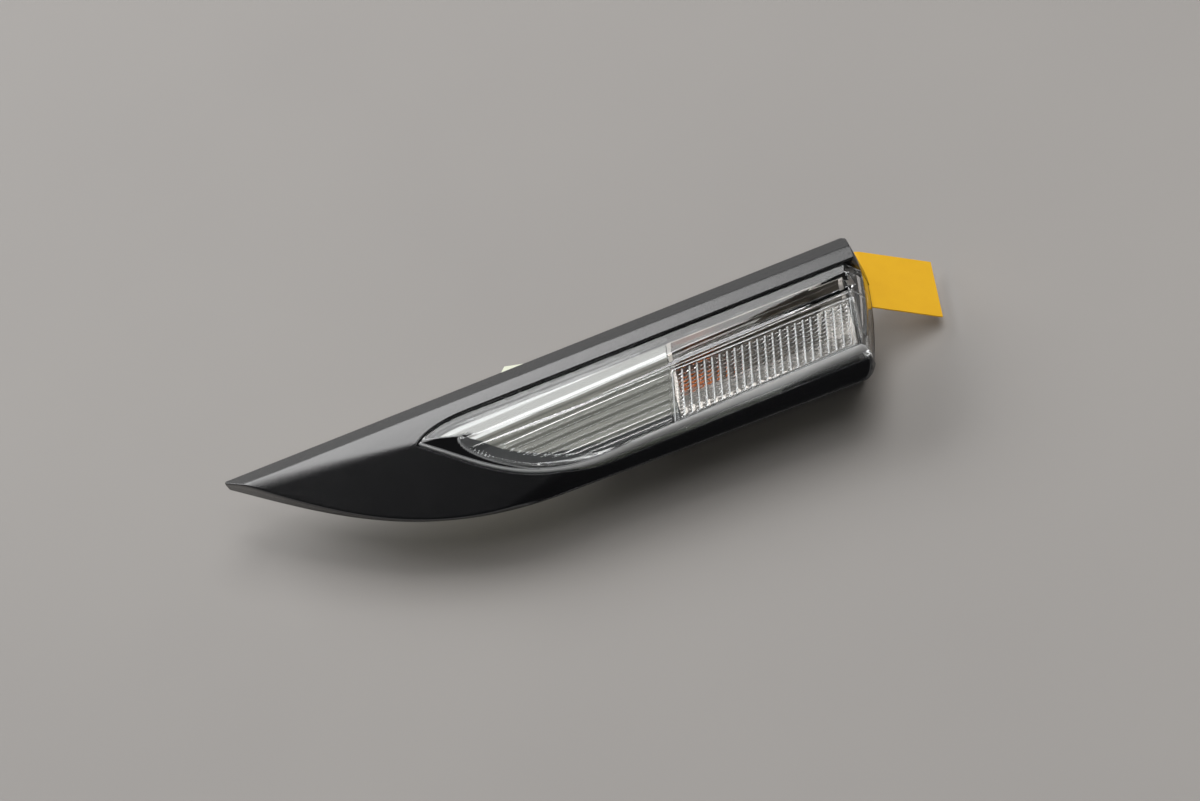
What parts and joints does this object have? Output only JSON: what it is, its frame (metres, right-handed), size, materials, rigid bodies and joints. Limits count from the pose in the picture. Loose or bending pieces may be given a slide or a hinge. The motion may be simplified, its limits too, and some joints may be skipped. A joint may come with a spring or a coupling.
{
  "type": "side repeater lamp",
  "caption": "Blade-shaped black bezel round a fluted and ribbed clear lens, with an amber wedge bulb in a twist-in holder behind and adhesive foam for fixing to a body panel.",
  "frame": {"origin": "on the outer face of the release film, which lies against the body panel, under the upper adhesive foam strip, 90 mm from the nose and 6 mm from the straight upper edge", "axes": "+X along the lamp from the nose to the lens end, +Y across it towards the straight upper edge, +Z outward from the body panel"},
  "size_m": [0.1884, 0.0468, 0.0282],
  "materials": {
    "black_textured_plastic": "fine spark texture, satin",
    "clear_acrylic": "polished",
    "satin_metallised": "satin",
    "chrome_plating": "mirror",
    "black_sealant": "dull",
    "black_plastic": "as moulded",
    "vent_film": "matt",
    "zinc_steel": "zinc plated",
    "amber_glass": "polished",
    "nickel_wire": "drawn",
    "grey_nylon": "as moulded",
    "black_rubber": "dull",
    "spring_brass": "stamped",
    "black_foam": "closed-cell foam",
    "pale_film": "satin film",
    "yellow_paper": "matt coated paper"
  },
  "bodies": {
    "lamp": {"bezel": "black_textured_plastic", "lens": "clear_acrylic", "trim_panel": "satin_metallised", "reflector": "chrome_plating", "sealant_bead": "black_sealant", "housing": "black_plastic", "breather_membrane": "vent_film", "housing_screw_1": "zinc_steel", "housing_screw_2": "zinc_steel", "housing_screw_3": "zinc_steel", "tape_upper": "black_foam", "tape_nose": "black_foam", "tape_ring": "black_foam", "release_liner": "pale_film", "pull_tab": "yellow_paper"},
    "holder": {"bulb_holder": "grey_nylon", "holder_gasket": "black_rubber", "bulb": "amber_glass", "bulb_lead_1": "nickel_wire", "bulb_lead_2": "nickel_wire", "contact_1": "spring_brass", "contact_2": "spring_brass"}
  },
  "joints": [
    {"name": "holder_turn", "type": "hinge", "parent": "lamp", "child": "holder", "pos_m": [0.022, -0.014, -0.0071], "axis": [-1, 0, 0], "range_deg": [0, 45]}
  ]
}
